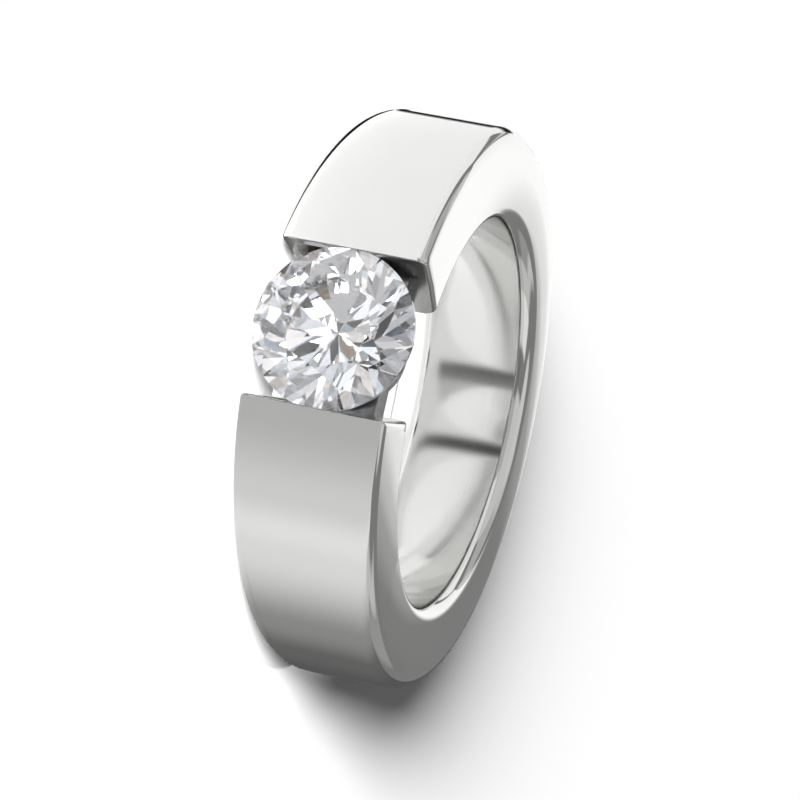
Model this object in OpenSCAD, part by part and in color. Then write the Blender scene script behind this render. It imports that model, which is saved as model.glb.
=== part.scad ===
// A wide polished ring whose band is open at the front. One round brilliant stone spans the gap.
// The finger hole's axis is Z and the origin is its centre. The stone faces -Y.

/* [Finger hole] */
// Diameter of the hole for the finger
hole_d = 16.2; // [15.6:0.1:17.2]
// Straight length of the hole's wall, between its two rounded edges
hole_land = 3.9; // [3.4:0.1:4.2]
// Radius of the rounded edge between the hole and each side of the band
hole_edge_r = 0.6; // [0.4:0.05:0.7]

/* [Band] */
// Radius of the round back of the band
back_r = 11.75; // [11.4:0.05:12.4]
// How far the centre of the round back lies in front of the hole's axis
back_forward = 0.5; // [0:0.05:0.8]
// How far the centre of each arm's arc lies past the middle, on the other arm's side
arm_past = 1.1; // [0.6:0.05:1.6]
// Width of the band at the gap
front_w = 6.1; // [5.8:0.05:6.6]
// Width of the band at the back
back_w = 5.1; // [4.8:0.05:5.6]
// Rounding of the outer edges at the gap
front_round = 0.45; // [0.25:0.05:0.6]
// Rounding of the outer edges at the back
back_round = 1.15; // [0.7:0.05:1.3]

/* [Gap] */
// Distance between the two arms at the finger hole
gap_inner = 4.3; // [4.2:0.05:4.6]
// Distance between the two arms at their outer edges
gap_outer = 6.4; // [6.3:0.02:6.46]

/* [Stone] */
// Diameter of the stone at its girdle
stone_d = 6.5; // [6.48:0.01:6.6]
// Distance from the hole's axis to the middle of the girdle
stone_out = 12.3; // [12.2:0.02:12.36]
// Width of the table, corner to corner, as a share of the diameter
table_share = 0.56; // [0.5:0.01:0.62]
// Slope of the bezel facets
crown_angle = 34.5; // [32:0.5:36]
// Slope of the main facets of the pavilion
pavilion_angle = 41; // [40:0.25:42]
// Thickness of the girdle
girdle_t = 0.2; // [0.18:0.01:0.24]

/* [Seat] */
// Radius of the round recess that is cut in each arm's end
recess_r = 3.9; // [3.7:0.05:4]
// Distance from the hole's axis to the flat top of that recess
recess_out = 12.15; // [11.9:0.05:12.2]
// Radius of the collar under the stone where it meets the finger hole
collar_foot_r = 1.65; // [1.5:0.05:1.8]
// Radius of the collar at its top
collar_top_r = 2.6; // [2.4:0.05:2.7]
// Distance from the hole's axis to the collar's top
collar_out = 11.2; // [11:0.05:11.4]
// Diameter of the round opening under the stone's point
culet_hole_d = 2; // [1.6:0.1:2.2]
// Width, at the finger hole, of the web that joins the collar to each arm
web_foot_w = 2.6; // [2.2:0.1:3]
// Width of the web at its top
web_top_w = 3.7; // [3.2:0.1:4]

/* [Hidden] */
hole_r = hole_d / 2;
stone_r = stone_d / 2;
seat_gap = 0.03;          // play between the stone and the metal
past = 2;                 // how far a cutter passes what it cuts
lap = 0.1;                // how far two shapes that are joined reach into each other
foot_tuck = 0.03;         // how far the side face's foot lies inside the hole's rounded edge
grip_h = 0.5;             // height of the part of the groove that follows the crown
web_drop = 0.8;           // how far the web's top lies below the collar's
ridge_room = 1.04;        // how much deeper the seat is than the main facets, for the ridges between others
facet_reach = 1.006;      // how far the facets' tips reach past the girdle, before they are turned off
girdle_past = 0.02;       // how much further the facets' sides run past the girdle
star_lift = 1.01;         // how far out the star facets' tips lie, as a share of half way to the girdle
lower_share = 0.24;       // where the lower girdle facets end near the point, as a share of the radius
sections = 120;           // cross-sections round the band
round_steps = 5;          // flats across one rounded outer edge
rough_hole_r = hole_r - 0.5;   // the swept band is made with a smaller hole, then bored out
side_foot_z = hole_land / 2 + hole_edge_r - foot_tuck;   // side face, where the hole's edge meets it
side_foot_r = hole_r + hole_edge_r;
round_from = 14;          // degrees from the front where the edges start to get rounder
round_to = 100;           // degrees from the front where they are fully round

// A place given by its angle from the front, its distance from the hole's axis and its height
function around(angle, r, z) = [-r * sin(angle), -r * cos(angle), z];

// Distance from the origin, along a direction [front, side], to a circle centred at [c.x, c.y]
function to_circle(dir, c, r) = let (b = dir * c) b + sqrt(b * b - c * c + r * r);

// Radius of the band's outline: a round back, and two flatter arcs that rise towards the gap
function outline_r(angle) =
    let (dir = [cos(angle), abs(sin(angle))],
         arm = to_circle(dir, [back_forward, -arm_past], back_r + arm_past))
    arm * dir.x > back_forward ? arm : to_circle(dir, [back_forward, 0], back_r);

// Half the band's width at its outer edge
function half_w(angle) = (front_w + back_w + (front_w - back_w) * cos(angle)) / 4;

// 0 to 1, with a soft start and end
function smooth(t) = let (k = min(max(t, 0), 1)) k * k * (3 - 2 * k);

// Radius of the rounded outer edge
function edge_round(angle) =
    let (from_front = min(angle, 360 - angle))
    front_round + (back_round - front_round) * smooth((from_front - round_from) / (round_to - round_from));

// Upper half of one cross-section as [r, z], from the outer face's middle to the rough hole
function half_section(angle) =
    let (r = outline_r(angle), w = half_w(angle), e = edge_round(angle),
         slope = (w - side_foot_z) / (r - e - side_foot_r))
    concat(
        [for (i = [0 : round_steps]) let (t = 90 * i / round_steps)
            [r - e + e * cos(t), w - e + e * sin(t)]],
        [[side_foot_r, side_foot_z],
         [rough_hole_r, side_foot_z - slope * (side_foot_r - rough_hole_r)]]);

// The whole cross-section, once round
function section(angle) =
    let (h = half_section(angle), n = len(h))
    concat(h, [for (i = [n - 1 : -1 : 0]) [h[i].x, -h[i].y]]);

// The closed hoop that the sections make before it is bored and cut open
module rough_hoop() {
    rings = [for (i = [0 : sections - 1]) section(360 * i / sections)];
    n = len(rings[0]);
    points = [for (i = [0 : sections - 1]) for (p = rings[i]) around(360 * i / sections, p.x, p.y)];
    polyhedron(points, [
        for (i = [0 : sections - 1]) for (k = [0 : n - 1])
            let (a = i * n, b = (i + 1) % sections * n, l = (k + 1) % n)
            each [[a + k, b + k, b + l], [a + k, b + l, a + l]]
    ], convexity = 6);
}

// The finger hole, with a rounded edge at both sides
module finger_hole() {
    land = hole_land / 2;
    rotate_extrude($fn = 128) {
        translate([0, -front_w])
            square([hole_r, 2 * front_w]);
        for (side = [1, -1])
            difference() {
                translate([0, side > 0 ? land : -land - hole_edge_r - past])
                    square([hole_r + hole_edge_r, hole_edge_r + past]);
                translate([hole_r + hole_edge_r, side * land])
                    circle(hole_edge_r, $fn = 64);
            }
    }
}

// The wedge between the two arms, whose side faces lean towards each other at the finger hole
module gap_wedge() {
    inner_y = sqrt(hole_r * hole_r - gap_inner * gap_inner / 4);
    outer_y = back_forward + sqrt(pow(back_r + arm_past, 2) - pow(gap_outer / 2 + arm_past, 2));
    lean = (gap_outer - gap_inner) / 2 / (outer_y - inner_y);
    near = inner_y - past;
    far = outer_y + past;
    half_at = function(y) gap_inner / 2 + lean * (y - inner_y);
    translate([0, 0, -front_w])
        linear_extrude(2 * front_w)
            polygon([[-half_at(near), -near], [half_at(near), -near],
                     [half_at(far), -far], [-half_at(far), -far]]);
}

// Turns a shape made along +Z so that +Z points out of the ring through the stone
module facing_out() {
    rotate([90, 0, 0])
        children();
}

// The round recess in both arms' ends, and above it the groove that grips the girdle and follows the crown
module seat_recess() {
    groove_r = stone_r + seat_gap;
    groove_top = stone_out + girdle_t / 2 + seat_gap;
    facing_out() {
        intersection() {
            translate([0, 0, recess_out])
                sphere(recess_r, $fn = 64);
            translate([-2 * recess_r, -2 * recess_r, 0])
                cube([4 * recess_r, 4 * recess_r, recess_out]);
        }
        translate([0, 0, recess_out - lap])
            cylinder(r = groove_r, h = groove_top - recess_out + lap, $fn = 96);
        translate([0, 0, groove_top])
            cylinder(r1 = groove_r, r2 = groove_r - grip_h / tan(crown_angle), h = grip_h, $fn = 96);
    }
}

// The collar under the stone, with a web to each arm
module collar() {
    foot = hole_r - 1;
    web_top = collar_out - web_drop;
    difference() {
        facing_out() {
            translate([0, 0, foot])
                cylinder(r1 = collar_foot_r, r2 = collar_top_r, h = collar_out - foot, $fn = 96);
            rotate([90, 0, 90])
                translate([0, 0, -gap_outer / 2])
                    linear_extrude(gap_outer)
                        polygon([[-web_foot_w / 2, foot], [web_foot_w / 2, foot],
                                 [web_top_w / 2, web_top], [-web_top_w / 2, web_top]]);
        }
        facing_out() {
            translate([0, 0, foot - 1])
                cylinder(d = culet_hole_d, h = collar_out - foot + 2, $fn = 64);
            pavilion_seat();
        }
    }
}

// The cone that the stone's underside rests in, a little deeper than the facets' ridges
module pavilion_seat() {
    depth = stone_r * tan(pavilion_angle) * ridge_room + seat_gap;
    foot = stone_out - girdle_t / 2 - depth;
    translate([0, 0, foot])
        cylinder(r1 = 0, r2 = 2 * (stone_r + seat_gap), h = 2 * depth, $fn = 96);
}

module band() {
    color("#C9C9C6")
    difference() {
        union() {
            difference() {
                rough_hoop();
                gap_wedge();
                seat_recess();
            }
            collar();
        }
        finger_hole();
    }
}

// A round brilliant, its girdle's middle at the origin and its table up
module brilliant() {
    r = facet_reach * stone_r;
    g = girdle_t / 2;
    table_r = table_share * r;
    table_z = g + (r - table_r) * tan(crown_angle);
    culet_z = -g - r * tan(pavilion_angle);
    out = girdle_past * r;
    star_r = (table_r + r) / 2 * star_lift;   // where star and upper girdle facets meet
    low_r = lower_share * r;
    // height on the plane of the bezel or main facet at distance d along its own direction
    crown_z = function(d) g + (table_z - g) * (r - d) / (r - table_r);
    pavilion_z = function(d) -g + (culet_z + g) * (r - d) / r;
    // slope, outwards from the girdle, of the ridge between two girdle facets that share a corner
    ridge = function(m) let (
            n = cross([r, 0, 0] - m, [r * cos(22.5), r * sin(22.5), 0] - m)) -n.x / n.z;
    up = [star_r * cos(22.5), star_r * sin(22.5), crown_z(star_r * cos(22.5)) - g];
    low = [low_r * cos(22.5), low_r * sin(22.5), pavilion_z(low_r * cos(22.5)) + g];
    ring = function(from, rr, z) [for (k = [0 : 7]) [rr * cos(from + 45 * k), rr * sin(from + 45 * k), z]];
    points = concat(
        ring(0, table_r, table_z),                               // 0: table corners
        ring(22.5, star_r, up.z + g),                            // 8: star tips
        ring(0, r, g),                                           // 16: bezel tips
        ring(0, r + out, g + out * ridge(up)),                   // 24: past the girdle, above
        ring(22.5, r + out, g - out * up.z / (r - star_r)),      // 32: past the girdle, above, between
        ring(0, r + out, -g + out * ridge(low)),                 // 40: past the girdle, below
        ring(22.5, r + out, -g - out * low.z / (r - low_r)),     // 48: past the girdle, below, between
        ring(0, r, -g),                                          // 56: main facet tips
        ring(22.5, low_r, low.z - g),                            // 64: ends of the lower girdle facets
        [[0, 0, culet_z]]);                                      // 72: the point
    before = function(k) (k + 7) % 8;
    after = function(k) (k + 1) % 8;
    faces = concat(
        [[for (k = [7 : -1 : 0]) k]],
        [for (k = [0 : 7]) let (a = after(k), b = before(k)) each [
            [k, a, 8 + k],                                       // star
            [k, 8 + k, 16 + k, 8 + b],                           // bezel
            [8 + k, 32 + k, 24 + k, 16 + k],                     // upper girdle, two
            [8 + k, 16 + a, 24 + a, 32 + k],
            [24 + k, 32 + k, 48 + k, 40 + k],                    // girdle, two
            [32 + k, 24 + a, 40 + a, 48 + k],
            [56 + k, 40 + k, 48 + k, 64 + k],                    // lower girdle, two
            [56 + a, 64 + k, 48 + k, 40 + a],
            [72, 64 + b, 56 + k, 64 + k]                         // main
        ]]);
    intersection() {
        polyhedron(points, faces, convexity = 2);
        translate([0, 0, -stone_r - 1])
            cylinder(r = stone_r, h = stone_d + 2, $fn = 96);
    }
}

module stone() {
    color("#F4F7FA")
    facing_out()
        translate([0, 0, stone_out])
            brilliant();
}

band();
stone();
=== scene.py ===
# %% [markdown]
# # A wide polished ring with a stone between its two ends
# A goldsmith casts such a band in one piece, files it true, polishes it until it mirrors the room, and
# then springs a round stone into the gap at its front. Here the measured model is loaded first. It gives
# the sizes, and everything below is made round it, in metres, with the finger hole's axis along Z and the
# stone facing -Y.

# %% Load the measured model
from math import atan2, cos, degrees, hypot, pi, radians, sin, sqrt, tan
import bmesh
import bpy
from mathutils import Matrix, Vector


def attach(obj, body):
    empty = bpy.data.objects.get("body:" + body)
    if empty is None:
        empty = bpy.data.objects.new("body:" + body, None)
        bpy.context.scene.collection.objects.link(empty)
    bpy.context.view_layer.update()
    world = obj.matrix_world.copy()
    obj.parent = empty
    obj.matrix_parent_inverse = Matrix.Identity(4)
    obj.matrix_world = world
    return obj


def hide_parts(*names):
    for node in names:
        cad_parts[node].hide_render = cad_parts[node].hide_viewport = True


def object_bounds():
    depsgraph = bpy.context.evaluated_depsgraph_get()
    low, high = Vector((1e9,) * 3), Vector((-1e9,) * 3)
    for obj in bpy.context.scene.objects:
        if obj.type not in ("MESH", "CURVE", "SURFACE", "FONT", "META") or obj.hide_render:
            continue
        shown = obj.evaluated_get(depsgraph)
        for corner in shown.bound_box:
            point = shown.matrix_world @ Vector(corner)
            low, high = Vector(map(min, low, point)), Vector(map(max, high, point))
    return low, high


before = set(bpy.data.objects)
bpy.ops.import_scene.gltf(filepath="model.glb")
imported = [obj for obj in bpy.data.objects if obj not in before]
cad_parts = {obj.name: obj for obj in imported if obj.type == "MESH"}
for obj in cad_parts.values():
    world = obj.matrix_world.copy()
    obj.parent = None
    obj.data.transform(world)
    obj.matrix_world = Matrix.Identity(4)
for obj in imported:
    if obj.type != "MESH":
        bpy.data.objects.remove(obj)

measured_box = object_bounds()
MM = 0.001
print("measured model, mm:", [[round(c / MM, 2) for c in corner] for corner in measured_box])

# %% [markdown]
# ## Sizes of the band
# These are the ring's own sizes, in millimetres. The finger hole is truly round. The outside is round at
# the back and rises in two flatter arcs towards the gap, where the band is also widest. The shape could
# be traced from a drawing, but a few circles and widths say the same, and they can be changed later.

# %% Sizes
HOLE_R = 8.1            # radius of the finger hole
SIDE_FOOT = 2.52        # half width of the band beside the finger hole
SIDE_CROWN = 0.04       # how much each side face swells at its middle
BACK_R = 11.75          # radius of the round back
BACK_FORWARD = 0.5      # how far that circle's centre lies in front of the hole's axis
ARM_PAST = 1.1          # how far each arm's arc is centred past the middle
FRONT_W, BACK_W = 6.1, 5.1            # width at the gap and at the back
GAP_INNER, GAP_OUTER = 4.3, 6.4       # the gap at the finger hole and at its outer edges
print("hole", 2 * HOLE_R, "mm, width", FRONT_W, "to", BACK_W, "mm, gap", GAP_INNER, "to", GAP_OUTER, "mm")


# %% The band's outline, by angle from the front
def to_circle(front, side, centre_front, centre_side, radius):
    """Distance from the hole's axis, along a direction, to a circle."""
    along = front * centre_front + side * centre_side
    return along + sqrt(along ** 2 - centre_front ** 2 - centre_side ** 2 + radius ** 2)


def outline_r(angle):
    """Distance from the hole's axis to the band's outside, at an angle from the front."""
    front, side = cos(angle), abs(sin(angle))
    arm = to_circle(front, side, BACK_FORWARD, -ARM_PAST, BACK_R + ARM_PAST)
    return arm if arm * front > BACK_FORWARD else to_circle(front, side, BACK_FORWARD, 0, BACK_R)


def half_width(angle):
    """Half the band's width at its outer edges."""
    return (FRONT_W + BACK_W + (FRONT_W - BACK_W) * cos(angle)) / 4


inner_y = sqrt(HOLE_R ** 2 - GAP_INNER ** 2 / 4)
outer_y = BACK_FORWARD + sqrt((BACK_R + ARM_PAST) ** 2 - (GAP_OUTER / 2 + ARM_PAST) ** 2)
start_inner = atan2(GAP_INNER / 2, inner_y)
start_outer = atan2(GAP_OUTER / 2, outer_y)
starts = [round(degrees(start), 2) for start in (start_inner, start_outer)]
print("the band starts, in degrees from the front, at", starts)
print("outside at gap, side, back:", [round(outline_r(a), 2) for a in (start_outer, pi / 2, pi)])

# %% [markdown]
# ## Helpers for working by hand
# Every step below is one that could be done with the mouse: pick some corners, edges or faces, and use a
# tool on them. Picking is done by place, so a small helper takes a rule that says what is picked. A tool
# acts on all that is selected, so each step starts with nothing selected.


# %% Open a piece for editing
def leave_edit():
    """Closes a piece that is open for editing."""
    if bpy.context.object and bpy.context.object.mode == "EDIT":
        bpy.ops.object.mode_set(mode="OBJECT")


def only(piece):
    """Makes one piece the only selected one."""
    leave_edit()
    bpy.ops.object.select_all(action="DESELECT")
    piece.select_set(True)
    bpy.context.view_layer.objects.active = piece


def named(name):
    """Names the piece that was just added."""
    piece = bpy.context.object
    piece.name = piece.data.name = name
    return piece


def edit(piece, mode="VERT"):
    """Opens a piece for editing with nothing selected."""
    only(piece)
    bpy.ops.object.mode_set(mode="EDIT")
    bpy.ops.mesh.select_mode(type=mode)
    bpy.ops.mesh.select_all(action="DESELECT")


# %% Pick its parts by their place
def pick(kind, rule):
    """Selects the corners, edges or faces of the piece in edit mode for which the rule holds."""
    mesh = bpy.context.object.data
    shape = bmesh.from_edit_mesh(mesh)
    for part in (shape.verts, shape.edges, shape.faces):
        for item in part:
            item.select = False
    picked = [item for item in getattr(shape, kind) if rule(item)]
    for item in picked:
        item.select_set(True)
    shape.select_flush_mode()
    bmesh.update_edit_mesh(mesh)
    return len(picked)


def middle(item):
    """Middle of an edge or face, in millimetres."""
    points = [v.co for v in item.verts]
    return sum(points, Vector()) / len(points) / MM


# %% Say what a piece has become
def tell(piece):
    """Prints a piece's corners, faces, open edges and volume."""
    mesh = piece.data
    shape = bmesh.new()
    shape.from_mesh(mesh)
    open_edges = sum(1 for e in shape.edges if len(e.link_faces) != 2)
    volume = shape.calc_volume() / MM ** 3
    shape.free()
    print(f"{piece.name}: {len(mesh.vertices)} corners, {len(mesh.polygons)} faces, "
          f"{open_edges} open edges, {volume:.1f} mm3")


# %% [markdown]
# ## The band's hoop
# A goldsmith would bend a bar round a mandrel. Here the bar's end is a flat plate, four corners with one
# more in each side face, and it is extruded step by step round the finger. At each step the two inner
# corners only turn, so the hole stays round, while the others also move out or in and spread or close up,
# which gives the band its taper. A spin would be quicker, but it can't change the section on its way.

# %% Plate at the end of one arm
leave_edit()
bpy.ops.object.select_all(action="DESELECT")
bpy.ops.mesh.primitive_plane_add(size=1 * MM)
band = named("polished_band")
edit(band, "EDGE")
bpy.ops.mesh.select_all(action="SELECT")
bpy.ops.transform.rotate(value=pi / 2, orient_axis="X", center_override=(0, 0, 0))
pick("edges", lambda e: abs(middle(e).z) > 0.4)
bpy.ops.mesh.subdivide(number_cuts=1)
pick("edges", lambda e: len(e.link_faces) == 2)
bpy.ops.mesh.dissolve_edges(use_verts=False)
print("the plate has", len(bmesh.from_edit_mesh(band.data).verts), "corners")


# %% Move the plate's corners to the end face of the arm
def corner_place(angle_in, angle_out, which, above):
    """Place of one corner of the section: 0 at the hole, 1 in the side face, 2 at the outside."""
    radius = (HOLE_R, (HOLE_R + outline_r(angle_out)) / 2, outline_r(angle_out))[which]
    angle = angle_in + (angle_out - angle_in) * which / 2
    foot, top = SIDE_FOOT, half_width(angle_out)
    height = (foot, (foot + top) / 2 + SIDE_CROWN, top)[which]
    return Vector((-radius * sin(angle), -radius * cos(angle), height if above else -height)) * MM


mesh = bmesh.from_edit_mesh(band.data)
for v in mesh.verts:
    which = 0 if v.co.x < -0.1 * MM else 2 if v.co.x > 0.1 * MM else 1
    v.co = corner_place(start_inner, start_outer, which, v.co.z > 0)
bmesh.update_edit_mesh(band.data)
print("the end face's corners, mm:", [tuple(round(c / MM, 2) for c in v.co) for v in mesh.verts])

# %% Extrude the plate round to the middle of the back
TURNS = 84              # steps from one end of the band to the middle of its back
step_inner = (pi - start_inner) / TURNS
step_outer = (pi - start_outer) / TURNS
bpy.ops.mesh.select_all(action="SELECT")
for turn in range(1, TURNS + 1):
    angle_in, angle_out = start_inner + step_inner * turn, start_outer + step_outer * turn
    old_in, old_out = angle_in - step_inner, angle_out - step_outer
    was = {(w, a): corner_place(old_in, old_out, w, a) for w in (0, 1, 2) for a in (True, False)}
    bpy.ops.mesh.extrude_region_move()
    mesh = bmesh.from_edit_mesh(band.data)
    for v in (v for v in mesh.verts if v.select):
        nearest = min(was, key=lambda k: (was[k] - v.co).length)
        v.co = corner_place(angle_in, angle_out, *nearest)
    bmesh.update_edit_mesh(band.data)
bpy.ops.mesh.delete(type="ONLY_FACE")
leave_edit()
tell(band)

# %% [markdown]
# ## The other half, and the rounded edges
# The ring is the same left and right, so the other half is a mirror copy, joined at the back. The four
# long edges are then rounded. Each edge carries a weight, so the outer ones start crisp at the gap and
# grow soft towards the back, just as hand polishing leaves them. A bevel by hand has one width, and the
# weights are what let it change.


# %% Mirror the half band
def apply_modifier(piece, kind, **settings):
    """Adds one modifier, sets it and applies it."""
    only(piece)
    modifier = piece.modifiers.new(kind.title(), kind)
    for name, value in settings.items():
        setattr(modifier, name, value)
    bpy.ops.object.modifier_apply(modifier=modifier.name)


def face_out(piece):
    """Merges doubles and turns every face outwards."""
    edit(piece)
    bpy.ops.mesh.select_all(action="SELECT")
    bpy.ops.mesh.remove_doubles(threshold=1e-7)
    bpy.ops.mesh.normals_make_consistent(inside=False)
    leave_edit()


apply_modifier(band, "MIRROR", use_axis=(True, False, False), merge_threshold=1e-6)
face_out(band)
tell(band)

# %% Weigh the four long edges
HOLE_ROUND = 0.6                      # rounding between the hole and each side
FRONT_ROUND, BACK_ROUND = 0.45, 1.15  # rounding of the outer edges, at the gap and at the back
GROWS_FROM, GROWS_OVER = 14, 86       # where the outer rounding grows, in degrees from the front
LEAST_TURN = 0.005                    # edges that turn by less, in radians, run across the band
NEAR_HOLE, NEAR_OUTSIDE = 0.01, 0.1   # how close to the hole or the outside an edge has to lie


def soft_step(t):
    """From 0 to 1 with a soft start and end."""
    t = min(max(t, 0), 1)
    return t * t * (3 - 2 * t)


def outer_round(angle):
    """Rounding of the outer edge, which grows towards the back."""
    grown = soft_step((degrees(angle) - GROWS_FROM) / GROWS_OVER)
    return FRONT_ROUND + (BACK_ROUND - FRONT_ROUND) * grown


edit(band, "EDGE")
mesh = bmesh.from_edit_mesh(band.data)
weights = mesh.edges.layers.float.new("bevel_weight_edge")
long_edges = 0
for e in mesh.edges:
    a, b = (v.co / MM for v in e.verts)
    around = abs(atan2(a.x, -a.y) - atan2(b.x, -b.y)) > LEAST_TURN
    inner = max(hypot(a.x, a.y), hypot(b.x, b.y)) < HOLE_R + NEAR_HOLE
    angle = abs(atan2(a.x + b.x, -a.y - b.y))
    outer = min(hypot(a.x, a.y), hypot(b.x, b.y)) > outline_r(angle) - NEAR_OUTSIDE
    if around and (inner or outer):
        e[weights] = (HOLE_ROUND if inner else outer_round(angle)) / BACK_ROUND
        long_edges += 1
bmesh.update_edit_mesh(band.data)
leave_edit()
print("long edges weighed:", long_edges)

# %% Round them
apply_modifier(band, "BEVEL", limit_method="WEIGHT", width=BACK_ROUND * MM, segments=10, profile=0.5,
               use_clamp_overlap=False)
tell(band)

# %% [markdown]
# ## The two ends of the band
# The flat plate at the gap was the start of the extrusion, and the mirror made its twin, so the two
# already lean towards each other. A polisher never leaves such an edge sharp: a thin round edge runs all
# the way round each plate and catches a bright line of light. The bevel tool makes it, on the edges where
# a plate meets the rest.

# %% Round the rim of both end plates
END_ROUND = 0.17        # how far the round edge reaches into the plate
edit(band, "EDGE")
rim_edges = pick("edges", lambda e: sum(len(f.verts) > 8 for f in e.link_faces) == 1)
bpy.ops.mesh.bevel(offset=END_ROUND * MM, segments=4, profile=0.5, clamp_overlap=False)
leave_edit()
print("edges round the end plates:", rim_edges)
tell(band)

# %% [markdown]
# ## The seat for the stone
# A setter cuts the seat with a round burr. The burr below is turned the same way: half a ball for the
# hollow in each arm's end, a short straight part for the groove that grips the girdle, and a cone that
# follows the crown. It is made standing up, then laid down so that its axis points out through the stone,
# and taken away from the band. Cutting with one tool keeps both seats on the same axis, as on the bench.


# %% Sizes of the stone and of the burr
STONE_R, STONE_OUT = 3.25, 12.3       # the stone's radius, and its girdle's distance from the hole's axis
RECESS_R, RECESS_OUT = 3.9, 12.15     # the hollow's radius, and how far out its flat top lies
GIRDLE, PLAY = 0.2, 0.03              # the girdle's thickness, and the room round it
CROWN, PAVILION = radians(34.5), radians(41)    # slopes of the stone's upper and lower side
CONE_H = 0.5                          # height of the burr's cone above the groove
print("the stone is", 2 * STONE_R, "mm wide and the hollow", 2 * RECESS_R, "mm")


# %% Lay a piece down
def settle(piece):
    """Puts the place of a piece into its mesh, so that its object is at the origin, unturned."""
    only(piece)
    bpy.ops.object.transform_apply(location=True, rotation=True, scale=True)


def lay_down(piece, out):
    """Turns a piece made along Z to point out through the stone, its zero this far from the axis."""
    only(piece)
    piece.rotation_euler = (pi / 2, 0, 0)
    piece.location = (0, -out * MM, 0)
    settle(piece)


# %% Turn the burr
bpy.ops.object.select_all(action="DESELECT")
bpy.ops.mesh.primitive_uv_sphere_add(segments=96, ring_count=48, radius=RECESS_R * MM)
burr = named("burr")
edit(burr)
pick("verts", lambda v: v.co.z > 1e-6)
bpy.ops.mesh.delete(type="VERT")
edit(burr, "EDGE")
pick("edges", lambda e: len(e.link_faces) == 1)
groove_r = STONE_R + PLAY
straight = STONE_OUT + GIRDLE / 2 + PLAY - RECESS_OUT
cone_r = groove_r - CONE_H / tan(CROWN)
for rise, shrink in ((0, groove_r / RECESS_R), (straight, 1), (CONE_H, cone_r / groove_r)):
    bpy.ops.mesh.extrude_region_move(TRANSFORM_OT_translate={"value": (0, 0, rise * MM)})
    bpy.ops.transform.resize(value=(shrink, shrink, 1), center_override=(0, 0, 0))
bpy.ops.mesh.edge_face_add()
lay_down(burr, RECESS_OUT)
tell(burr)


# %% Cut the seat
def carve(piece, tool, how="DIFFERENCE"):
    """Takes one piece away from another, or joins them, and removes the tool."""
    apply_modifier(piece, "BOOLEAN", object=tool, operation=how, solver="EXACT")
    bpy.data.objects.remove(tool)
    face_out(piece)


carve(band, burr)
tell(band)

# %% [markdown]
# ## The collar under the stone
# Under the stone hides a small turned collar that carries the pavilion, with a web to each arm. It is a
# cone and a tapered block joined into one, bored for the stone's point, sunk to the slope of the pavilion
# and cut back by the finger hole, so that nothing reaches the finger. Then it is joined to the band, as
# one casting. It could be lathed from a drawn profile, but a cone and a few cutters show better how each
# face came about.

# %% Cone and web
COLLAR_FOOT_R, COLLAR_TOP_R, COLLAR_OUT = 1.65, 2.6, 11.2   # the collar's radii, and how far out it ends
WEB_FOOT_W, WEB_TOP_W = 2.6, 3.7      # the web's width at its foot and at its top
WEB_DROP = 0.8                        # how far the web's top lies below the collar's
TO_CUT = 1                            # how far both reach into the hole, to be cut back
foot = HOLE_R - TO_CUT
web_top = COLLAR_OUT - WEB_DROP
bpy.ops.mesh.primitive_cone_add(vertices=96, radius1=COLLAR_FOOT_R * MM, radius2=COLLAR_TOP_R * MM,
                                depth=(COLLAR_OUT - foot) * MM,
                                location=(0, 0, (COLLAR_OUT + foot) / 2 * MM))
collar = named("collar")
settle(collar)
bpy.ops.mesh.primitive_cube_add(size=1 * MM)
web = named("web")
web.scale = (GAP_OUTER, WEB_FOOT_W, web_top - foot)
web.location = (0, 0, (web_top + foot) / 2 * MM)
settle(web)
edit(web, "FACE")
pick("faces", lambda f: f.normal.z > 0.9)
bpy.ops.transform.resize(value=(1, WEB_TOP_W / WEB_FOOT_W, 1))
leave_edit()
carve(collar, web, "UNION")
tell(collar)

# %% Sink and bore it for the stone's point
RIDGE_ROOM = 1.04                     # the pavilion's ridges reach a little deeper than its facets
POINT_HOLE_R = 1                      # radius of the opening under the stone's point
DRILL_LENGTH, DRILL_OUT = 9, 9        # the drill's length, and the distance of its middle
seat_depth = STONE_R * tan(PAVILION) * RIDGE_ROOM + PLAY
seat_foot = STONE_OUT - GIRDLE / 2 - seat_depth
bpy.ops.mesh.primitive_cone_add(vertices=96, radius1=0, radius2=2 * groove_r * MM,
                                depth=2 * seat_depth * MM,
                                location=(0, 0, (seat_foot + seat_depth) * MM))
sink = named("sink")
settle(sink)
carve(collar, sink)
bpy.ops.mesh.primitive_cylinder_add(vertices=64, radius=POINT_HOLE_R * MM, depth=DRILL_LENGTH * MM,
                                    location=(0, 0, DRILL_OUT * MM))
drill = named("drill")
settle(drill)
carve(collar, drill)
tell(collar)

# %% Cut it back by the finger hole and join it to the band
FINGER_LENGTH = 12
lay_down(collar, 0)
bpy.ops.mesh.primitive_cylinder_add(vertices=512, radius=HOLE_R * MM, depth=FINGER_LENGTH * MM)
carve(collar, named("finger"))
tell(collar)
carve(band, collar, "UNION")
tell(band)

# %% [markdown]
# ## Smooth light on flat and round
# Polished metal shows every fault in how its faces meet. Corners flatter than 30 degrees are shaded as
# one smooth surface, and each corner's direction is taken from its largest faces, so that flat stays flat
# and only the roundings turn the light. More faces would also help, but they wouldn't make a flat face
# any flatter.

# %% Shading of the band, and its place on the measured model
only(band)
bpy.ops.object.shade_smooth_by_angle(angle=radians(30))
apply_modifier(band, "WEIGHTED_NORMAL", mode="FACE_AREA", weight=80, keep_sharp=True)
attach(band, "root")
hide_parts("band")
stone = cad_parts["stone"]
tell(band)
tell(stone)

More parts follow.
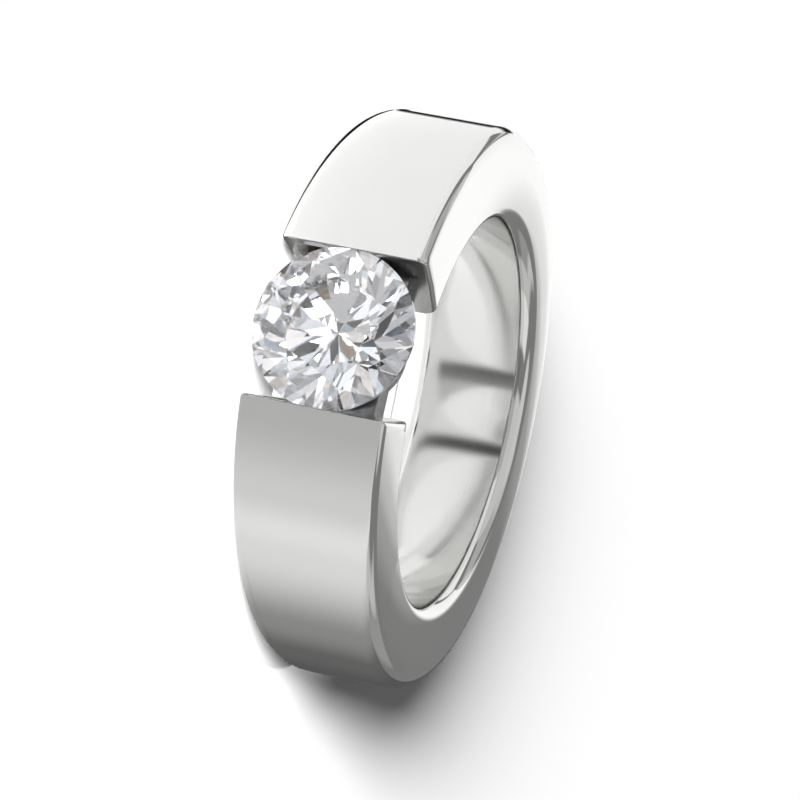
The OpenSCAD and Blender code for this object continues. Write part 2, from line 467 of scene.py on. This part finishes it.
# %% [markdown]
# ## Polished white metal
# The metal is silver under a thin bright plating of rhodium, which is a little warmer and darker than
# pure silver. The outside is polished to a mirror. Inside the finger hole a buff can't work as well, so
# the mirror is softer there, with fine lines that run round the hole. The seat is cut with a burr and no
# buff reaches into it, so its mirror is softer still. The hole and the seat, with the arms' end faces,
# also get a painted shade: their colour is made darker, as if less light fell on them. All this could be
# three materials on three sets of faces.
# One material that asks each point where on the ring it lies does the same, and needs no faces to be
# picked.


# %% Add and join shader nodes
class Nodes:
    """Adds and joins shader nodes."""

    def __init__(self, tree):
        self.tree = tree

    def node(self, kind, **settings):
        """Adds a node and sets it."""
        made = self.tree.nodes.new(kind)
        for name, value in settings.items():
            setattr(made, name, value)
        return made

    def math(self, operation, a, b=None, c=None):
        """Adds one step of arithmetic on numbers and other nodes' outputs, and gives its result."""
        made = self.node("ShaderNodeMath", operation=operation)
        for socket, value in zip(made.inputs, (a, b, c)):
            if isinstance(value, (int, float)):
                socket.default_value = value
            elif value is not None:
                self.join(value, socket)
        return made.outputs[0]

    def join(self, a, b):
        """Leads an output to an input."""
        self.tree.links.new(a, b)


# %% A material with its shader
def put(material, piece):
    """Makes a material the only one on a piece."""
    piece.data.materials.clear()
    piece.data.materials.append(material)


class Finish(Nodes):
    """A material and the nodes of its shader."""

    def __init__(self, name):
        self.material = bpy.data.materials.new(name)
        self.material.use_nodes = True
        super().__init__(self.material.node_tree)
        self.shader = self.tree.nodes["Principled BSDF"]


# %% Which points lie in the finger hole
WALL_SKIN = 0.05        # each place reaches a hair past its surface, so that the surface lies in it
metal = Finish("rhodium_polish")
where = metal.node("ShaderNodeTexCoord").outputs["Object"]
apart = metal.node("ShaderNodeSeparateXYZ")
metal.join(where, apart.inputs[0])
x, y, z = (apart.outputs[axis] for axis in "XYZ")
flat = metal.node("ShaderNodeCombineXYZ")
metal.join(x, flat.inputs["X"])
metal.join(y, flat.inputs["Y"])
from_axis = metal.node("ShaderNodeVectorMath", operation="LENGTH")
metal.join(flat.outputs[0], from_axis.inputs[0])
in_hole = metal.math("LESS_THAN", from_axis.outputs["Value"], (HOLE_R + WALL_SKIN) * MM)
print("the hole's wall lies within", round(HOLE_R + WALL_SKIN, 2), "mm of the axis")

# %% Which points lie in the seat, in the burr's hollow or between the end faces
BURR_SKIN, END_SKIN = 0.03, 0.04
RIM = 0.15              # the gap's mark stops this far from the band's sides
from_seat = metal.node("ShaderNodeVectorMath", operation="DISTANCE")
metal.join(where, from_seat.inputs[0])
from_seat.inputs[1].default_value = (0, -RECESS_OUT * MM, 0)
in_ball = metal.math("LESS_THAN", from_seat.outputs["Value"], (RECESS_R + BURR_SKIN) * MM)
under_top = metal.math("GREATER_THAN", y, -(RECESS_OUT + BURR_SKIN) * MM)
in_burr = metal.math("MULTIPLY", in_ball, under_top)
lean = (GAP_OUTER - GAP_INNER) / 2 / (outer_y - inner_y)
end_at_axis = GAP_INNER / 2 - lean * inner_y + END_SKIN
end_x = metal.math("MULTIPLY_ADD", y, -lean, end_at_axis * MM)
between = metal.math("LESS_THAN", metal.math("ABSOLUTE", x), end_x)
in_front = metal.math("LESS_THAN", y, 0)
off_side = metal.math("LESS_THAN", metal.math("ABSOLUTE", z), (FRONT_W / 2 - RIM) * MM)
in_gap = metal.math("MULTIPLY", metal.math("MULTIPLY", between, in_front), off_side)
in_seat = metal.math("MAXIMUM", in_burr, in_gap)
print("the end faces lean", round(degrees(atan2(lean, 1)), 1), "degrees each")

# %% Colour of the metal, with painted shade in the hole and the seat
CLOUD_SCALE = 350       # waves per metre of the uneven plating, one in about three millimetres
DARKER, LIGHTER = (0.80, 0.80, 0.785, 1), (0.84, 0.84, 0.83, 1)
# painted shade: how much darker the colour is made in the hole and in the seat
HOLE_SHADE, SEAT_SHADE = 0.16, 0.5      # how much light is lost in the hole and in the seat
cloud = metal.node("ShaderNodeTexNoise")
cloud.inputs["Scale"].default_value = CLOUD_SCALE
cloud.inputs["Detail"].default_value = 4
metal.join(where, cloud.inputs["Vector"])
tint = metal.node("ShaderNodeMix", data_type="RGBA")
tint.inputs["A"].default_value = DARKER
tint.inputs["B"].default_value = LIGHTER
metal.join(cloud.outputs["Fac"], tint.inputs["Factor"])
# painted shade: the colour is pulled towards black in the hole and in the seat, by the shares above
painted_shade = metal.node("ShaderNodeMix", data_type="RGBA", blend_type="MULTIPLY")
shade_share = metal.math("MAXIMUM", metal.math("MULTIPLY", in_hole, HOLE_SHADE),
                    metal.math("MULTIPLY", in_seat, SEAT_SHADE))
metal.join(shade_share, painted_shade.inputs["Factor"])
metal.join(tint.outputs["Result"], painted_shade.inputs["A"])
painted_shade.inputs["B"].default_value = (0, 0, 0, 1)
metal.join(painted_shade.outputs["Result"], metal.shader.inputs["Base Color"])
metal.shader.inputs["Metallic"].default_value = 1
print("light lost in the hole and the seat:", HOLE_SHADE, SEAT_SHADE)

# %% How soft its mirror is
MIRROR, HAZE = 0.025, 0.02            # roughness of the outside, and how much it varies
HOLE_SOFT, SEAT_SOFT = 0.06, 0.15     # what the hole and the seat add to it
rough = metal.math("MULTIPLY_ADD", cloud.outputs["Fac"], HAZE, MIRROR)
softer = metal.math("MULTIPLY_ADD", in_hole, HOLE_SOFT, rough)
metal.join(metal.math("MULTIPLY_ADD", in_seat, SEAT_SOFT, softer), metal.shader.inputs["Roughness"])
print("roughness outside, in the hole, in the seat:", MIRROR, MIRROR + HOLE_SOFT, MIRROR + SEAT_SOFT)

# %% [markdown]
# ## Fine lines and small dents
# A buff that turns in the finger hole leaves lines round it. Noise that is stretched a hundred times
# along the ring gives such lines. Very small dents from wear, far too fine to model, break the
# reflections a little. Both only tilt the light, through a bump, because the lines are thinner than a
# hair.

# %% Lines in the hole and dents from wear
LINES_ROUND, LINES_ACROSS = 300, 30000        # waves of the noise per metre, round the hole and across it
LINE_DEPTH = 3          # depth of the lines against that of the dents
DENTS = 9000            # waves of the dents per metre
WEAR, WEAR_DEPTH = 0.02, 0.01         # share of the bump that is used, and its height in millimetres
stretch = metal.node("ShaderNodeMapping")
stretch.inputs["Scale"].default_value = (LINES_ROUND, LINES_ROUND, LINES_ACROSS)
metal.join(where, stretch.inputs["Vector"])
lines = metal.node("ShaderNodeTexNoise")
lines.inputs["Scale"].default_value = 1
lines.inputs["Detail"].default_value = 3
metal.join(stretch.outputs[0], lines.inputs["Vector"])
grain = metal.node("ShaderNodeTexNoise")
grain.inputs["Scale"].default_value = DENTS
metal.join(where, grain.inputs["Vector"])
lines_here = metal.math("MULTIPLY", lines.outputs["Fac"], in_hole)
line_height = metal.math("MULTIPLY", lines_here, LINE_DEPTH)
bump = metal.node("ShaderNodeBump")
bump.inputs["Strength"].default_value = WEAR
bump.inputs["Distance"].default_value = WEAR_DEPTH * MM
metal.join(metal.math("ADD", grain.outputs["Fac"], line_height), bump.inputs["Height"])
metal.join(bump.outputs["Normal"], metal.shader.inputs["Normal"])
put(metal.material, band)
print(metal.material.name, "has", len(metal.tree.nodes), "nodes")

# %% [markdown]
# ## Cubic zirconia
# The stone bends light far more than glass does: its refractive index is about 2.17. Its facets are flat
# and polished, so the shape does most of the work, and the shader only has to be clear and strongly
# refracting. Its sparkle could be painted on, but it would then stay still while the ring turns, as no
# real stone's does.

# %% Stone
REFRACTION = 2.17
gem = Finish("clear_zirconia")
gem.shader.inputs["Base Color"].default_value = (0.95, 0.96, 1, 1)
gem.shader.inputs["Transmission Weight"].default_value = 1
gem.shader.inputs["IOR"].default_value = REFRACTION
gem.shader.inputs["Roughness"].default_value = 0
put(gem.material, stone)
print(gem.material.name, "is on", stone.name, "and bends light by", REFRACTION)

# %% [markdown]
# ## Floor
# The ring lies on a sheet of plain pale paper. A shiny floor would mirror the ring and the studio round
# it, so the paper is matt and has no sheen at all. The stone doesn't see the paper through its facets: it
# has its own surroundings, further down.

# %% Floor
lowest = min(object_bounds()[0][2], measured_box[0][2])
bpy.ops.object.select_all(action="DESELECT")
bpy.ops.mesh.primitive_plane_add(size=3, location=(0, 0, lowest))
floor = named("floor")
paper = Finish("pale_floor")
paper.shader.inputs["Base Color"].default_value = (0.9, 0.9, 0.9, 1)
paper.shader.inputs["Roughness"].default_value = 0.9
paper.shader.inputs["Specular IOR Level"].default_value = 0
put(paper.material, floor)
floor.visible_transmission = False
print("the floor lies at", round(lowest / MM, 2), "mm")

# %% [markdown]
# ## Camera
# The ring lies on its side, as it would by itself. The camera looks at it from the front, low above the
# floor, and is itself turned on its side, so that the ring seems to stand in the picture. Its place and
# its right and up directions were found once by fitting the ring's edges to the picture, so they are
# given as they are. Aiming it at the ring by hand would be simpler, but the roll would have to be
# guessed. A long lens from far away keeps the ring free of distortion.

# %% Camera
CAMERA_PLACE = Vector((28.293, -155.73, 47.582))
CAMERA_RIGHT = Vector((-0.24584, 0.244826, 0.937882))
CAMERA_UP = Vector((-0.954061, -0.232072, -0.1895))
lens = bpy.data.cameras.new("camera")
camera = bpy.data.objects.new("camera", lens)
bpy.context.scene.collection.objects.link(camera)
bpy.context.scene.camera = camera
camera_back = CAMERA_RIGHT.cross(CAMERA_UP)
turned = Matrix((CAMERA_RIGHT, CAMERA_UP, camera_back)).transposed().to_4x4()
camera.matrix_world = Matrix.Translation(CAMERA_PLACE * MM) @ turned
lens.lens = 180
lens.sensor_width = 36
lens.clip_start = 0.01
lens.clip_end = 10
above = degrees(atan2(camera_back.z, hypot(camera_back.x, camera_back.y)))
print("the camera looks down at", round(above, 1), "degrees, from", round(CAMERA_PLACE.length), "mm")

# %% [markdown]
# ## Cards that the metal mirrors
# A mirror has no look of its own: it shows what stands round it. So a photographer who takes a polished
# ring sets up pale and dark cards and moves them until each face shows the right shade. Most cards here
# are strips bent round the ring, with a foot on the floor. Each glows with a shade that changes along it.
# Mirrors alone see them, so they cast no shadow and, apart from two, don't stand in the picture. They
# could be painted into the surroundings instead, but near cards shift as the eye moves along a face,
# which is what makes its shade run from end to end.


# %% Paint for a card
def card_paint(card, place, start, end, shades):
    """Makes a card glow with a shade that changes along it, seen only in reflections."""
    paint = Finish(card.name)
    apart = paint.node("ShaderNodeSeparateXYZ")
    paint.join(paint.node("ShaderNodeTexCoord").outputs["Object"], apart.inputs[0])
    along = paint.node("ShaderNodeMapRange")
    paint.join(place(paint, apart.outputs), along.inputs["Value"])
    along.inputs["From Min"].default_value = start
    along.inputs["From Max"].default_value = end
    ramp = paint.node("ShaderNodeValToRGB")
    paint.join(along.outputs[0], ramp.inputs[0])
    while len(ramp.color_ramp.elements) < len(shades):
        ramp.color_ramp.elements.new(0.5)
    ramp.color_ramp.interpolation = "EASE"
    for element, (at, value) in zip(ramp.color_ramp.elements, shades):
        element.position = (at - start) / (end - start)
        element.color = (value, value, value, 1)
    paint.shader.inputs["Base Color"].default_value = (0, 0, 0, 1)
    paint.shader.inputs["Specular IOR Level"].default_value = 0
    paint.join(ramp.outputs["Color"], paint.shader.inputs["Emission Color"])
    paint.shader.inputs["Emission Strength"].default_value = 1
    put(paint.material, card)
    card.visible_camera = card.visible_diffuse = False
    card.visible_transmission = card.visible_shadow = False
    print(card.name, "has", len(shades), "shades from", round(start, 3), "to", round(end, 3))


# %% Compass angles round the ring
def compass_of(point):
    """Compass angle of a point round the ring, in degrees from the X axis."""
    return degrees(atan2(point.y, point.x))


def by_compass(paint, c):
    """The same angle, worked out by a material's nodes."""
    return paint.math("MULTIPLY", paint.math("ARCTAN2", c["Y"], c["X"]), 180 / pi)


# %% A card bent round the ring
CARD_LIFT = 0.02        # a card's foot lies this far above the floor
SLOPE_FROM, SLOPE_OVER = -10, 50      # where a card's top slopes down, in degrees of compass


def bent_card(name, radius, foot_radius, top, shades, low_top=None):
    """A strip bent round the band, with a foot on the floor. Its shades go by compass angle."""
    bpy.ops.object.select_all(action="DESELECT")
    base = lowest + CARD_LIFT * MM
    bpy.ops.mesh.primitive_cylinder_add(vertices=360, radius=radius * MM, depth=top * MM - base,
                                        end_fill_type="NOTHING", location=(0, 0, (top * MM + base) / 2))
    card = named(name)
    settle(card)
    edit(card, "EDGE")
    pick("edges", lambda e: all(v.co.z < base + 1e-6 for v in e.verts))
    bpy.ops.mesh.extrude_region_move()
    shrink = foot_radius / radius
    bpy.ops.transform.resize(value=(shrink, shrink, 1), center_override=(0, 0, base))
    edit(card)
    start, end = shades[0][0], shades[-1][0]
    pick("verts", lambda v: not start < compass_of(v.co) < end)
    bpy.ops.mesh.delete(type="VERT")
    if low_top:
        shape = bmesh.from_edit_mesh(card.data)
        for v in (v for v in shape.verts if v.co.z > top * MM - 1e-6):
            v.co.z += (low_top - top) * MM * soft_step((compass_of(v.co) - SLOPE_FROM) / SLOPE_OVER)
        bmesh.update_edit_mesh(card.data)
    leave_edit()
    card_paint(card, by_compass, start, end, shades)
    return card


# %% [markdown]
# ## Three bent cards
# The graded card stands round one side of the ring and gives its outside a long run of shades: grey at
# the gap, then pale, then dark at the side. Its top slopes down towards the back. The top card stands at
# the other side and puts one dark line into it. The inner foot is a white ring flat on the floor, and
# brightens a long stripe on the wall of the finger hole, which mirrors it. Each could be a flat board, but
# a bent one keeps its distance to the band all the way.

# %% Stand the bent cards round the ring
# name, radius, radius of its foot, height of its top, shades by compass angle, height where the top is low
bent_card("graded_card", 13, 10.5, 3.5,
          ((-82, 0.45), (-73, 0.52), (-58, 0.72), (-50, 0.89), (-44, 0.82), (-20, 0.29), (-4, 0.14),
           (17, 0.1), (60, 0.12), (88, 0.8)), 2.6)
bent_card("top_card", 13, 10.5, 2.4,
          ((-179.8, 1), (-178, 0.3), (-176.5, 0.02), (-172.5, 0.02), (-170.5, 0.4), (-168.2, 1)))
bent_card("inner_foot", 9.6, 7.5, -3.2, ((-181, 1), (0, 1), (181, 1)))

# %% [markdown]
# ## Floor under the back
# The band is narrower at the back, so its back hovers a little above the floor, and the camera sees into
# that gap. In a bright tent light creeps in there from all sides. Two low strips stand for it: a pale one
# on the side of the hole, and outside it one with the shade of the shadow there. They are the only cards
# that the camera sees. A lamp could do this too, but it would also brighten the shadow, which the ring
# needs to lie firmly.

# %% Pale and shaded strip
strips = (bent_card("pale_floor", 9.9, 8.3, -2.7, ((88, 0.9), (97, 1.2), (133, 1.2), (142, 0.9))),
          bent_card("shaded_floor", 10, 9.97, -2.7, ((88, 0.33), (142, 0.6))))
for strip in strips:
    strip.visible_camera = True
print("cards that the camera sees:", len(strips))

# %% [markdown]
# ## Dark strip at the foot of one arm
# The rounding along an arm's lower edge looks down at the floor close by. If it found only white there,
# the edge would melt into the picture's pale ground. A dark strip flat on the floor, a painted shadow at
# the band's foot that only mirrors see, gives it a thin dark line instead. Darker paper would do the same,
# but all round the ring.

# %% Dark strip
# the dark strip is a painted shadow at the band's foot, which only mirrors see
bent_card("dark_foot", 12.6, 10.5, -3.2, ((-168, 0.02), (-110, 0.02), (-100, 0.3)))

# %% [markdown]
# ## The panel behind the ring
# The band's upper side is flat and seen at a slant, so it mirrors what stands behind the ring: one large
# upright panel. The panel goes from bright to dark across a narrow stretch, so the side runs from white
# at the top of the picture to grey at its foot. The stretch widens as it goes up, like a fan. A panel
# that is bright all over would be simpler, but it would leave the side a flat white.

# %% Back panel
PANEL_W, PANEL_H = 110, 100           # size of the panel
PANEL_X, PANEL_Y = -25, 100           # where its middle stands
PANEL_REACH = 70                      # how much further its upper corner reaches to the side
PANEL_SHEAR = 0.26                    # how far its shades slip sideways for each step up
PANEL_FAN = 6                         # how much wider they get, for each metre up
bpy.ops.object.select_all(action="DESELECT")
bpy.ops.mesh.primitive_plane_add(size=1 * MM)
back_panel = named("back_panel")
back_panel.scale = (PANEL_W, PANEL_H, 1)
back_panel.rotation_euler = (pi / 2, 0, 0)
back_panel.location = (PANEL_X * MM, PANEL_Y * MM, lowest + PANEL_H / 2 * MM)
settle(back_panel)
edit(back_panel)
pick("verts", lambda v: v.co.x < PANEL_X * MM and v.co.z > 0)
bpy.ops.transform.translate(value=(-PANEL_REACH * MM, 0, 0))
leave_edit()


# %% Its shades, by their place across in metres
def across_panel(paint, c):
    """Place across the back panel, whose shades slip sideways and widen as they go up."""
    sheared = paint.math("MULTIPLY_ADD", c["Z"], PANEL_SHEAR, c["X"])
    return paint.math("DIVIDE", sheared, paint.math("MULTIPLY_ADD", c["Z"], PANEL_FAN, 1))


card_paint(back_panel, across_panel, -0.078, 0.01,
           ((-0.078, 0.22), (-0.07, 1.05), (-0.02, 1.12), (-0.012, 0.85), (-0.009, 0.55), (-0.0065, 0.36),
            (-0.002, 0.23), (0.01, 0.22)))

# %% [markdown]
# ## Dark streaks in the finger hole
# The wall of the hole shows two dark bands across it. They are strips of card on the floor inside the
# hole, dark in the middle. A round wall is a hollow mirror, which brings light together half way to its
# axis, so a straight strip would show as a wedge. Each strip is shaded as a fan from that point, and then
# the wall shows it straight. Its far end is bent up, because the wall's upper part mirrors what stands
# across the hole and not the floor.

# %% A streak on the floor
STREAK_LENGTH, STREAK_WIDTH = 14.1, 2.4
STREAK_RISE = 3.5       # height of the end that is bent up
STREAK_MIDDLE = 8.6     # distance of the strip's middle from the wall that shows it
STREAK_LIFT = 0.03      # height of the strip above the floor
STREAK_SPREAD = 0.12    # half its spread, as a slope


def floor_fan(name, foot, azimuth, shades):
    """A dark streak on the floor inside the hole, drawn so that the round wall shows it straight."""
    bpy.ops.object.select_all(action="DESELECT")
    bpy.ops.mesh.primitive_plane_add(size=1 * MM)
    fan = named(name)
    turn = radians(azimuth)
    fan.scale = (STREAK_LENGTH, STREAK_WIDTH, 1)
    settle(fan)
    edit(fan, "EDGE")
    pick("edges", lambda e: middle(e).x > STREAK_LENGTH / 2 - 0.05)
    bpy.ops.mesh.extrude_region_move(TRANSFORM_OT_translate={"value": (0, 0, STREAK_RISE * MM)})
    leave_edit()
    fan.rotation_euler = (0, 0, turn)
    middle_x = foot[0] + STREAK_MIDDLE * cos(turn)
    middle_y = foot[1] + STREAK_MIDDLE * sin(turn)
    fan.location = (middle_x * MM, middle_y * MM, lowest + STREAK_LIFT * MM)
    settle(fan)
    waist = Vector(foot) * MM + Vector((cos(turn), sin(turn))) * HOLE_R / 2 * MM

    def slope_from_waist(paint, c):
        """Slope from the point where the wall brings all directions together."""
        from_x = paint.math("SUBTRACT", c["X"], waist.x)
        from_y = paint.math("SUBTRACT", c["Y"], waist.y)
        ahead = paint.math("MULTIPLY_ADD", from_y, sin(turn), paint.math("MULTIPLY", from_x, cos(turn)))
        aside = paint.math("MULTIPLY_ADD", from_y, cos(turn), paint.math("MULTIPLY", from_x, -sin(turn)))
        return paint.math("DIVIDE", aside, ahead)

    card_paint(fan, slope_from_waist, -STREAK_SPREAD, STREAK_SPREAD, shades)


# %% Two streaks: foot on the wall, direction, shades by slope
floor_fan("first_streak", (-3.24, 7.42), 305.5,
          ((-0.12, 0.6), (-0.07, 0.25), (0.06, 0.12), (0.12, 0.95)))
floor_fan("second_streak", (-0.33, 8.09), 263,
          ((-0.12, 0.95), (-0.03, 0.06), (0.03, 0.06), (0.12, 0.95)))

# %% [markdown]
# ## Lamps for the floor
# The floor is the only matt thing here, so the lamps are there for it and for the ring's shadow. A low
# soft lamp from the front throws the long shadow behind the ring, a very wide one lifts it a little, and
# a small spot from above keeps the floor inside the hole white, which the hole's wall mirrors. The metal
# doesn't mirror the lamps, because a bare lamp in a mirror is a hard white dot.


# %% Hang a lamp
def hang(name, kind, azimuth, elevation, distance, strength, **settings):
    """Hangs a lamp that looks at the ring, at a distance in millimetres. Mirrors don't show it."""
    holder = bpy.data.objects.new(name, bpy.data.lights.new(name, kind))
    bpy.context.scene.collection.objects.link(holder)
    a, e = radians(azimuth), radians(elevation)
    toward = Vector((cos(a) * cos(e), sin(a) * cos(e), sin(e)))
    holder.location = toward * distance * MM
    holder.rotation_euler = toward.to_track_quat("Z", "Y").to_euler()
    holder.visible_camera = holder.visible_glossy = False
    holder.data.energy = strength
    for setting, value in settings.items():
        setattr(holder.data, setting, value)
    print(name, "hangs at compass", azimuth, "and", elevation, "degrees up")


# %% Three lamps: compass angle, height angle, distance, strength
hang("key", "SUN", -93, 13, 1000, 14, angle=radians(14))
hang("fill", "SUN", -96, 45, 1000, 0.5, angle=radians(90))
hang("snoot", "SPOT", 0, 90, 200, 1.75, spot_size=radians(6.4), spot_blend=0.15, shadow_soft_size=4 * MM)

# %% [markdown]
# ## The tent round the ring
# Far from the ring stands the photographer's tent, which the roundings mirror, and the arm that has no
# tall card. It is the world's background: a dim grey with soft-edged bright fields, each given by its
# compass angles, its heights and its brightness. A picture of a studio would do as well, but fields can
# be moved one at a time until each face has its shade. The tent doesn't light the floor, which has its
# lamps.

# %% Directions in the tent
room = bpy.data.worlds.new("room")
bpy.context.scene.world = room
room.use_nodes = True
room.cycles_visibility.diffuse = False
tent = Nodes(room.node_tree)
look = tent.node("ShaderNodeSeparateXYZ")
tent.join(tent.node("ShaderNodeTexCoord").outputs["Generated"], look.inputs[0])
compass = tent.math("ARCTAN2", look.outputs["Y"], look.outputs["X"])
rise = tent.math("ARCSINE", look.outputs["Z"])


def within(angle, centre, half, soft):
    """1 where an angle is within half of a centre, in degrees, with a soft edge."""
    away = tent.math("WRAP", tent.math("SUBTRACT", angle, radians(centre)), pi, -pi)
    away = tent.math("ABSOLUTE", away)
    edge = tent.node("ShaderNodeMapRange", interpolation_type="SMOOTHSTEP")
    tent.join(away, edge.inputs["Value"])
    edge.inputs["From Min"].default_value = radians(half + soft)
    edge.inputs["From Max"].default_value = radians(half - soft)
    return edge.outputs[0]


def wall(azimuths, elevations, brightness, soft=4, lean=0.0):
    """A soft-edged bright field of the tent. With a lean it moves sideways as it goes up."""
    turned = tent.math("MULTIPLY_ADD", rise, -lean, compass) if lean else compass
    sideways = within(turned, sum(azimuths) / 2, (azimuths[1] - azimuths[0]) / 2, soft)
    upright = within(rise, sum(elevations) / 2, (elevations[1] - elevations[0]) / 2, soft)
    return tent.math("MULTIPLY", tent.math("MULTIPLY", sideways, upright), brightness)


# %% Bright fields: compass angles, heights, brightness, softness, lean
TENT_GREY = 0.22        # brightness between the fields
fields = (
    wall((-10, 370), (69, 120), 0.66),
    wall((195, 303), (24, 120), 0.62, 6),
    wall((105, 205), (58, 120), 0.58, 8),
    wall((140, 215), (34, 65), 0.46, 3),
    wall((112, 150), (31, 46), 0.65, 4),
    wall((138, 243), (-25, 25), 0.98, 3, 0.4),
    wall((101, 127), (-25, 24), 1.15, 5, 0.5),
    wall((108, 138), (15, 38), 0.72, 5),
    wall((-33, 8), (-25, 53), 0.84, 5),
    wall((-20, 35), (-25, 51), 0.58, 8),
    wall((10, 76), (34, 50), 0.58, 6),
    wall((-10, 92), (14, 40), 0.34, 8),
    wall((-10, 60), (-25, 20), 0.22, 10),
    wall((246, 297), (-25, 34), 0.55, 4))
total = tent.math("ADD", TENT_GREY, 0)
for field in fields:
    total = tent.math("MAXIMUM", total, field)
print("bright fields:", len(fields))

# %% [markdown]
# ## What the stone's facets see
# A stone sparkles because each facet picks out another spot of the room, bright or dark. An even tent
# gives it nothing to pick, and it looks like plastic. So light that has passed through the stone meets a
# pattern of bright panels and dark gaps, the same all round. The pattern is a little apart for red, green
# and blue, which stands for the stone's fire: the real stone splits white light, and this renderer
# doesn't.

# %% Panels and gaps for the stone
ROUND_WAVES, UP_WAVES = 13, 10        # how fast the pattern repeats round the stone and up
FIRE = 0.3                            # how far red and blue lie from green, in degrees
DARK_UNDER, FULL_OVER = -0.9, 1.6     # sums of the two waves that give black and full brightness
BRIGHTEST = 1.1                       # full brightness of a panel
fire = tent.node("ShaderNodeCombineXYZ")
for channel, shift in zip("XYZ", (-FIRE, 0, FIRE)):
    round_phase = tent.math("MULTIPLY_ADD", compass, ROUND_WAVES, radians(ROUND_WAVES * shift))
    up_phase = tent.math("MULTIPLY_ADD", rise, UP_WAVES, radians(UP_WAVES * shift))
    across, upward = tent.math("SINE", round_phase), tent.math("SINE", up_phase)
    level = tent.node("ShaderNodeMapRange")
    tent.join(tent.math("ADD", across, upward), level.inputs["Value"])
    level.inputs["From Min"].default_value = DARK_UNDER
    level.inputs["From Max"].default_value = FULL_OVER
    level.inputs["To Min"].default_value = 0
    level.inputs["To Max"].default_value = BRIGHTEST
    tent.join(level.outputs[0], fire.inputs[channel])
print("waves round and up:", ROUND_WAVES, UP_WAVES)

# %% [markdown]
# ## One tent for all
# The mirrors get the fields, the stone gets its panels, and the camera gets plain white where it looks
# past the floor. Light that is mirrored in the seat or inside the stone turns many times, and where it is
# cut short the picture goes black. So it may turn up to 24 times, 12 of them at mirrors.

# %% Join the surroundings
MIRROR_TURNS, MOST_TURNS = 12, 24
seen_by = tent.node("ShaderNodeLightPath")
for_stone = tent.node("ShaderNodeMix", data_type="RGBA")
tent.join(seen_by.outputs["Is Transmission Ray"], for_stone.inputs["Factor"])
tent.join(total, for_stone.inputs["A"])
tent.join(fire.outputs[0], for_stone.inputs["B"])
for_camera = tent.node("ShaderNodeMix", data_type="RGBA")
tent.join(seen_by.outputs["Is Camera Ray"], for_camera.inputs["Factor"])
tent.join(for_stone.outputs["Result"], for_camera.inputs["A"])
for_camera.inputs["B"].default_value = (1, 1, 1, 1)
tent.join(for_camera.outputs["Result"], tent.tree.nodes["Background"].inputs["Color"])
bpy.context.scene.view_settings.view_transform = "Standard"
paths = bpy.context.scene.cycles
paths.glossy_bounces = MIRROR_TURNS
paths.transmission_bounces = paths.max_bounces = MOST_TURNS
print("turns of light:", paths.glossy_bounces, paths.transmission_bounces, paths.max_bounces)
